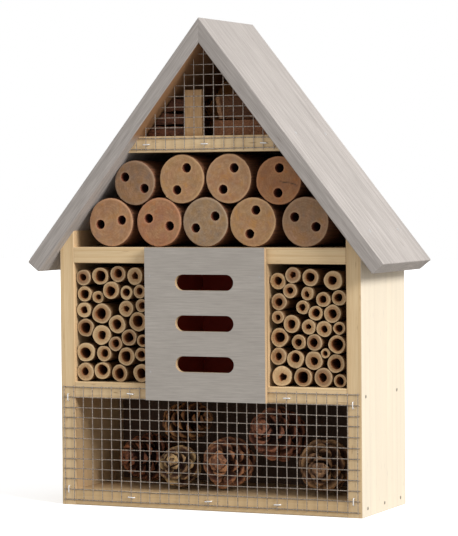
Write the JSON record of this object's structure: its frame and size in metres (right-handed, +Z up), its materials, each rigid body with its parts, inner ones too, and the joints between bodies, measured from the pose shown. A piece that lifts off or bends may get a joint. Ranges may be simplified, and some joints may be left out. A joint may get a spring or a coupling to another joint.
{
  "type": "insect hotel",
  "caption": "Small pine insect house with a pitched grey roof, slotted front plate, drilled logs, reed bundles, mesh-covered cones and attic.",
  "frame": {"origin": "centre of the body's footprint on its underside, midway between the outsides of the side panels and midway in the body's depth", "axes": "+Z up, the front looks along -Y, +X is to the right seen from the front"},
  "size_m": [0.3098, 0.1095, 0.3934],
  "materials": {
    "bark": "rough bark",
    "cone": "dry scales",
    "log_wood": "saw-cut ends, bark-free sides",
    "offcut": "sawn",
    "pine": "planed, bare",
    "plate_grey": "grey paint, matte",
    "plate_grey_metal": "grey paint, matte",
    "reed": "cut ends, dry",
    "roof_grey": "thin grey stain, matte",
    "steel": "zinc plated",
    "wire": "galvanised"
  },
  "bodies": {
    "root": {"attic_mesh": "wire", "attic_mesh_staples": "steel", "attic_offcut": "offcut", "attic_shelf": "pine", "attic_slat": "offcut", "back_nails": "steel", "back_panel": "pine", "bark_chips": "bark", "bottom_board": "pine", "cone_1": "cone", "cone_2": "cone", "cone_3": "cone", "cone_4": "cone", "cone_5": "cone", "cone_6": "cone", "divider_left": "pine", "divider_right": "pine", "front_plate": "plate_grey", "hanger_plate": "steel", "hanger_screws": "steel", "leaning_offcut": "offcut", "log_1": "log_wood", "log_2": "log_wood", "log_3": "log_wood", "log_4": "log_wood", "log_5": "log_wood", "log_6": "log_wood", "log_7": "log_wood", "log_8": "log_wood", "log_9": "log_wood", "lower_mesh": "wire", "lower_mesh_staples": "steel", "lower_shelf": "pine", "plate_brads": "plate_grey_metal", "reeds_left_1": "reed", "reeds_left_2": "reed", "reeds_left_3": "reed", "reeds_left_4": "reed", "reeds_left_5": "reed", "reeds_left_6": "reed", "reeds_left_7": "reed", "reeds_right_1": "reed", "reeds_right_2": "reed", "reeds_right_3": "reed", "reeds_right_4": "reed", "reeds_right_5": "reed", "reeds_right_6": "reed", "reeds_right_7": "reed", "roof_nails": "steel", "roof_panel_left": "roof_grey", "roof_panel_right": "roof_grey", "side_nails": "steel", "side_panel_left": "pine", "side_panel_right": "pine", "upper_shelf": "pine"}
  },
  "joints": []
}
